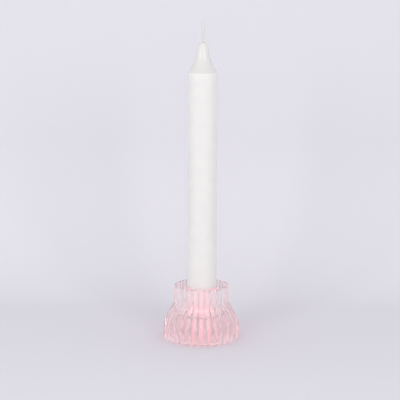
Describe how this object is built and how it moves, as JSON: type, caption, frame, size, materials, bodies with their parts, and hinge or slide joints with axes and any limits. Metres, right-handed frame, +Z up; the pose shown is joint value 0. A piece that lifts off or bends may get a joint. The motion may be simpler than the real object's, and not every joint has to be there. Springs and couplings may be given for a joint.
{
  "type": "glass candlestick",
  "caption": "Low ribbed glass candlestick with a pink socket cup inside a straight collar, holding a tall white candle that lifts out.",
  "frame": {"origin": "centre of the face that the glass stands on, on the candle's axis", "axes": "+Z up along the candle; +X and +Y are level and alike, with a rib crest on each"},
  "size_m": [0.0562, 0.0562, 0.2327],
  "materials": {
    "clear_glass": "pressed clear glass with a faint pink cast, fire polished",
    "pink_glass": "dense pink glass, semi-opaque, smooth",
    "wax": null,
    "wick_cotton": "braided cotton dipped in wax"
  },
  "bodies": {
    "holder": {"glass_body": "clear_glass", "pink_cup": "pink_glass"},
    "candle": {"candle": "wax", "wick": "wick_cotton"}
  },
  "joints": [
    {"name": "candle_lift", "type": "slide", "parent": "holder", "child": "candle", "axis": [0, 0, 1], "range_m": [0, 0.04]}
  ]
}
